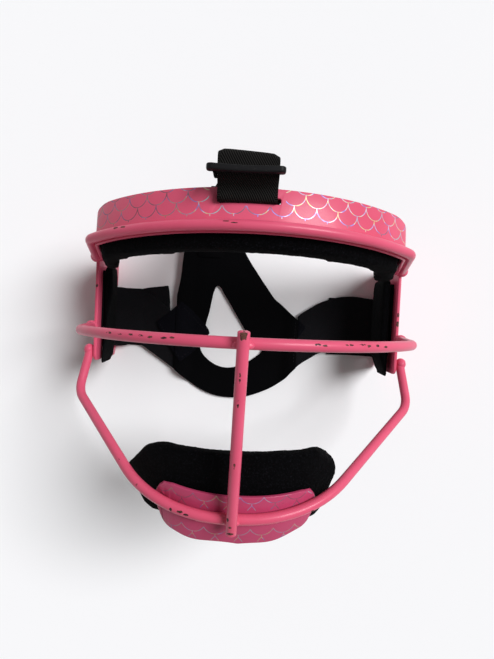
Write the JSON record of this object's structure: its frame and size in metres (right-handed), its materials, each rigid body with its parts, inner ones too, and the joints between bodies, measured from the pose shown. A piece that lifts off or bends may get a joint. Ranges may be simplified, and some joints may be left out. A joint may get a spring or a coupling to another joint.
{
  "type": "softball face guard",
  "caption": "Steel wire and sheet cage for the face with brow, chin and temple pads, a strap over the crown with a slider, and elastic side straps joined by a rear harness.",
  "frame": {"origin": "middle of the whole box on the table, with the guard lying on its back", "axes": "+Z out of the face, +Y towards the top of the head, +X to the right as seen from the front"},
  "size_m": [0.1916, 0.173, 0.1475],
  "materials": {
    "coated_steel": "glossy pink powder coat, worn at the edges",
    "patterned_steel": "glossy pink powder coat under a foil scallop pattern",
    "hook_tape": "black hook tape",
    "pad_facing": "black brushed loop facing",
    "pad_foam": "black closed-cell foam",
    "webbing": "black twill webbing",
    "slider_plastic": "moulded black, glossy",
    "harness_fabric": "black bonded fabric",
    "elastic": "black ribbed elastic"
  },
  "bodies": {
    "cage": {"mid_bar": "coated_steel", "brow_bar": "coated_steel", "jaw_bar": "coated_steel", "centre_bar": "coated_steel", "forehead_band": "patterned_steel", "left_side_plate": "coated_steel", "right_side_plate": "coated_steel", "chin_plate": "patterned_steel", "left_mid_bar_weld": "coated_steel", "right_mid_bar_weld": "coated_steel", "left_brow_bar_weld": "coated_steel", "right_brow_bar_weld": "coated_steel", "left_jaw_bar_weld": "coated_steel", "right_jaw_bar_weld": "coated_steel", "centre_bar_top_weld": "coated_steel", "centre_bar_bottom_weld": "coated_steel", "chin_plate_weld": "coated_steel", "chin_hook_tape": "hook_tape", "brow_hook_tape": "hook_tape", "left_hook_tape": "hook_tape", "right_hook_tape": "hook_tape", "chin_pad_facing": "pad_facing", "brow_pad_facing": "pad_facing", "left_pad_facing": "pad_facing", "right_pad_facing": "pad_facing", "chin_pad_foam": "pad_foam", "brow_pad_foam": "pad_foam", "left_pad_foam": "pad_foam", "right_pad_foam": "pad_foam"},
    "crown_strap": {"top_strap": "webbing"},
    "slider": {"strap_slider": "slider_plastic"},
    "harness": {"harness_panel": "harness_fabric", "harness_apex_patch": "harness_fabric"},
    "left_strap": {"left_side_strap": "elastic", "left_strap_tail": "elastic", "left_hook_patch": "hook_tape", "left_harness_tab": "harness_fabric"},
    "right_strap": {"right_side_strap": "elastic", "right_strap_tail": "elastic", "right_hook_patch": "hook_tape", "right_harness_tab": "harness_fabric"}
  },
  "joints": [
    {"name": "crown_strap_swing", "type": "hinge", "parent": "cage", "child": "crown_strap", "pos_m": [-0.00379, 0.0716, 0.11264], "axis": [-1, 0, 0], "range_deg": [0, 12]},
    {"name": "slider_tilt", "type": "hinge", "parent": "crown_strap", "child": "slider", "pos_m": [-0.00379, 0.0795, 0.11864], "axis": [1, 0, 0], "range_deg": [0, 20]},
    {"name": "harness_fold", "type": "hinge", "parent": "crown_strap", "child": "harness", "pos_m": [-0.02599, 0.07118, 0.0022], "axis": [-1, 0, 0], "range_deg": [0, 45]},
    {"name": "left_strap_swing", "type": "hinge", "parent": "cage", "child": "left_strap", "pos_m": [-0.08829, 0.01188, 0.0047], "axis": [0, -1, 0], "range_deg": [0, 30]},
    {"name": "right_strap_swing", "type": "hinge", "parent": "cage", "child": "right_strap", "pos_m": [0.08831, 0.01188, 0.0047], "axis": [0, 1, 0], "range_deg": [0, 30]}
  ]
}
